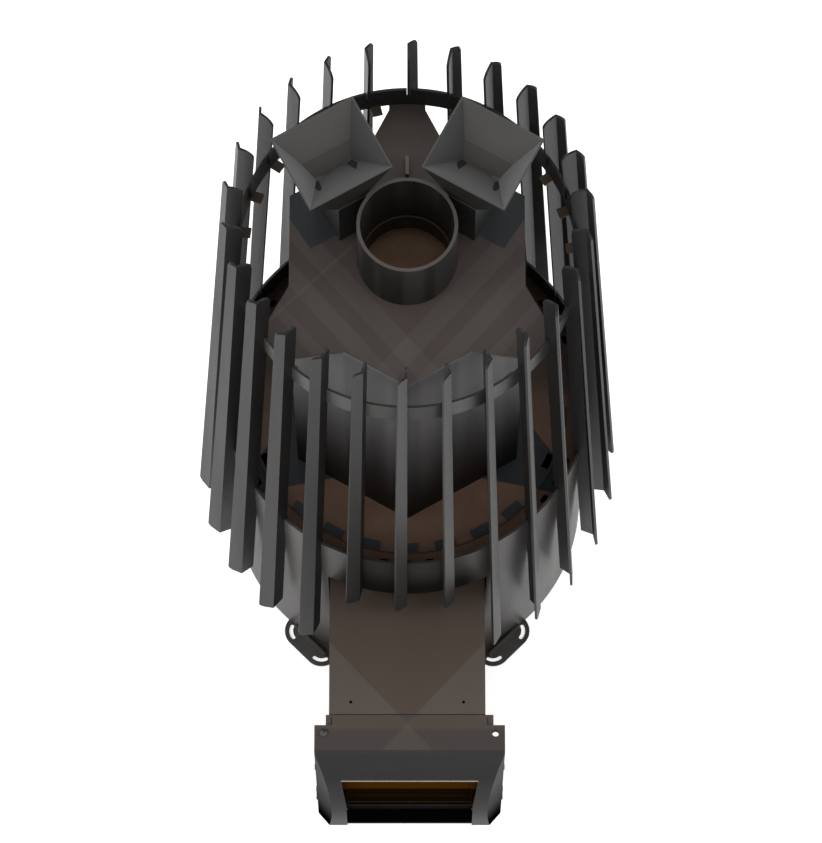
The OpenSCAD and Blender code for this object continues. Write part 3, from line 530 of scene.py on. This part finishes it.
# The finish of each material slot of the record
FINISHES = {
    "base_steel": coated_steel((38, 36, 34)),
    "drum_steel": coated_steel((73, 71, 70), shine=0.15, paint=drum_paint),
    "tray_steel": coated_steel((84, 65, 53), rough=0.5, paint=tray_paint),
    "firebox_steel": coated_steel((80, 78, 78), shine=0.1, paint=wall_paint),
    "top_steel": coated_steel((74, 66, 62), streak=(1, 0.08, 1), vary=0.05, paint=plate_paint),
    "grate_iron": cast_iron,
    # The baffle's pale tone is painted light, standing in for light that hardly reaches it down the flue
    "baffle_steel": coated_steel((196, 158, 130), rough=0.5),
    "collar_steel": coated_steel((34, 34, 33), paint=collar_paint),
    "funnel_steel": coated_steel((71, 70, 69), streak=(0.2, 1, 1), vary=0.04, wear_and_sheen=0, paint=funnel_paint),
    "ring_steel": coated_steel((45, 44, 43), shine=0.22, paint=ring_paint),
    "slat_steel": coated_steel((42, 41, 41), shine=0.16, streak=(1, 1, 0.02), paint=slat_paint),
    "tunnel_steel": coated_steel((76, 65, 58), streak=(1, 0.06, 1), vary=0.03, wear_and_sheen=0, paint=tunnel_paint),
    "door_steel": coated_steel((60, 60, 60), shine=0.0, rough=0.5, streak=(0.15, 1, 1), vary=0.04, wear_and_sheen=0.15,
                               paint=door_paint),
    "door_inner_steel": coated_steel((30, 28, 26), shine=0.0, rough=0.5, paint=inner_paint),
    "pane": pane,
    "seal_fibre": fibre_rope,
    "fastener_steel": coated_steel((74, 72, 70), rough=0.35, metal=0.3),
}

# Finishes of single pieces, which differ from the rest of their slot
# The sill's near-black tone is painted shade under the door's hood
SILL = coated_steel((9, 7, 7), shine=0.0, wear_and_sheen=0, paint=sill_paint)
NOTCH_FLOOR = coated_steel(FUNNEL_WALL_TONE, vary=0.04, wear_and_sheen=0)
# A dim sheet in each funnel's slit, its tone painted shade
SLIT_SHADE_SHEET = coated_steel((74, 68, 65), shine=0.05, wear_and_sheen=0)
# Dark sheets at the slit's ends, their tone painted shade
SLIT_END_SHADE = coated_steel((46, 46, 45), shine=0.05, wear_and_sheen=0)
# The bright tone of the door opening's cut edge is a painted highlight
EDGE_HIGHLIGHT = coated_steel((126, 112, 98), shine=0.2, rough=0.3, streak=(0.05, 1, 1), wear_and_sheen=0)


def dress_nodes():
    """Gives every carried-over node its slot's material, and the sill its own."""
    made = {slot: new_material(slot, finish) for slot, finish in FINISHES.items()}
    sill_steel = new_material("sill_steel", SILL)
    slots = {row["node"]: row["material_slot"] for row in frame["record"]["subparts"]}
    for name, node in frame["nodes"].items():
        node.data.materials.clear()
        node.data.materials.append(sill_steel if name == "sill_plate" else made[slots[name]])


def add_piece(name, build, body, material):
    """Makes a piece from mesh code, and puts it on its body in its finish."""
    mesh = bmesh.new()
    build(mesh)
    bmesh.ops.recalc_face_normals(mesh, faces=mesh.faces)
    data = bpy.data.meshes.new(name)
    mesh.to_mesh(data)
    mesh.free()
    data.materials.append(material)
    piece = bpy.data.objects.new(name, data)
    bpy.context.scene.collection.objects.link(piece)
    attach(piece, body)


def slab(mesh, side, plan, faces):
    """A thin slab along the wall before a funnel's slit, from its outline in U and N and its two faces."""
    across = Vector((math.cos(FUNNEL_TURN), math.sin(FUNNEL_TURN)))
    away = Vector((-math.sin(FUNNEL_TURN), math.cos(FUNNEL_TURN)))
    layers = []
    for face in faces:
        layer = []
        for u, v in plan:
            spot = across * u + away * v
            height = FUNNEL_FOOT + SLIT_RISE + max(SLIT_N - v, 0) * WALL_RISE + face
            layer.append(mesh.verts.new((-side * spot.x * MM, spot.y * MM, height * MM)))
        mesh.faces.new(layer)
        layers.append(layer)
    upper, lower = layers
    for k in range(len(plan)):
        m = (k + 1) % len(plan)
        mesh.faces.new((upper[k], upper[m], lower[m], lower[k]))


def notch_floors(mesh, side):
    """Quarter rounds that close the notches at both ends of the slit, flush with the wall."""
    for end, way in zip(SLIT_U, (1, -1)):
        plan = [(end, SLIT_N)]
        for k in range(NOTCH_STEPS + 1):
            turn = math.pi / 2 * k / NOTCH_STEPS
            plan.append((end + way * NOTCH_R * math.cos(turn), SLIT_N - NOTCH_R * math.sin(turn)))
        slab(mesh, side, plan, NOTCH_FACES)


def slit_shade_sheet(mesh, side):
    """A dim sheet that closes the slit, its tone painted shade."""
    left, right = SLIT_U
    far = SLIT_N + SLIT_W
    slab(mesh, side, ((left, SLIT_N), (right, SLIT_N), (right, far), (left, far)), SLIT_FACES)


def slit_end_shades(mesh, side):
    """A thin dark sheet at each end of the slit, its tone painted shade."""
    for plan in HOLLOW_SHADES:
        slab(mesh, side, plan, HOLLOW_SHADE_FACES)


def window_edge(mesh):
    """Cut edge of the sheet, slightly rounded, in a painted highlight."""
    middle = (DOOR_LOW.x + DOOR_HIGH.x) / 2
    size = Vector((2 * EDGE_HALF_W, EDGE_Y[1] - EDGE_Y[0], EDGE_Z[1] - EDGE_Z[0]))
    centre = Vector((middle, sum(EDGE_Y) / 2, sum(EDGE_Z) / 2))
    for corner in bmesh.ops.create_cube(mesh, size=1)["verts"]:
        corner.co = (centre + size * corner.co) * MM
    bmesh.ops.bevel(mesh, geom=list(mesh.edges), offset=EDGE_ROUND * MM, segments=3, profile=0.5,
                    affect="EDGES")


def add_details():
    """Small pieces in each funnel, some of them in painted shade, and the edge of the door's opening in a
    painted highlight.
    """
    details = (
        ("notch_floors", notch_floors, new_material("funnel_wall_steel", NOTCH_FLOOR)),
        ("slit_shade_sheet", slit_shade_sheet, new_material("dim_steel", SLIT_SHADE_SHEET)),
        ("slit_end_shades", slit_end_shades, new_material("shadow_steel", SLIT_END_SHADE)),
    )
    for side_name, side in SIDES.items():
        for name, build, material in details:
            add_piece(f"{side_name}_{name}", partial(build, side=side), "stove", material)
    add_piece("window_edge", window_edge, "door", new_material("edge_highlight_steel", EDGE_HIGHLIGHT))


def add_floor():
    """Plain pale floor that keeps the stove's shadow, and glows to white where it is seen."""
    bpy.ops.mesh.primitive_plane_add(size=FLOOR_SIZE)
    floor = bpy.context.object
    floor.name = "floor"
    material = bpy.data.materials.new("floor")
    material.use_nodes = True
    n = Nodes(material.node_tree)
    matt = n.build("ShaderNodeBsdfDiffuse", {"Color": (FLOOR_TONE, FLOOR_TONE, FLOOR_TONE, 1)})
    glow = n.build("ShaderNodeEmission", {"Strength": n.math("MULTIPLY", n.seen(), FLOOR_GLOW)})
    surface = n.build("ShaderNodeAddShader", {0: matt, 1: glow})
    n.put(n.add("ShaderNodeOutputMaterial"), "Surface", surface)
    floor.data.materials.append(material)


def add_sky():
    """Soft studio surround: plain white where it is seen, and a gentle dome of light for the object."""
    world = bpy.data.worlds.new("studio")
    bpy.context.scene.world = world
    world.use_nodes = True
    n = Nodes(world.node_tree)
    way = n.add("ShaderNodeTexCoord").outputs["Generated"]
    height = n.build("ShaderNodeSeparateXYZ", {"Vector": way}, "Z")
    level = n.spread(height, 0.1, 0.9, SKY_SIDE, SKY_TOP)
    dome = n.build("ShaderNodeBackground", {"Color": SKY_COLOUR, "Strength": level})
    white = n.build("ShaderNodeBackground", {"Color": (1, 1, 1, 1)})
    surface = n.build("ShaderNodeMixShader", {0: n.seen(), 1: dome, 2: white})
    n.put(n.add("ShaderNodeOutputWorld"), "Surface", surface)


def add_lamps():
    for name, (place, size, power) in LAMPS.items():
        data = bpy.data.lights.new(name, "AREA")
        data.shape = "RECTANGLE"
        data.size, data.size_y = size
        data.energy = power
        lamp = bpy.data.objects.new(name, data)
        lamp.location = place
        lamp.rotation_euler = (LAMP_AIM - Vector(place)).to_track_quat("-Z", "Y").to_euler()
        bpy.context.scene.collection.objects.link(lamp)


add_camera()
dress_nodes()
add_details()
add_floor()
add_sky()
add_lamps()
bpy.context.scene.view_settings.view_transform = "Standard"
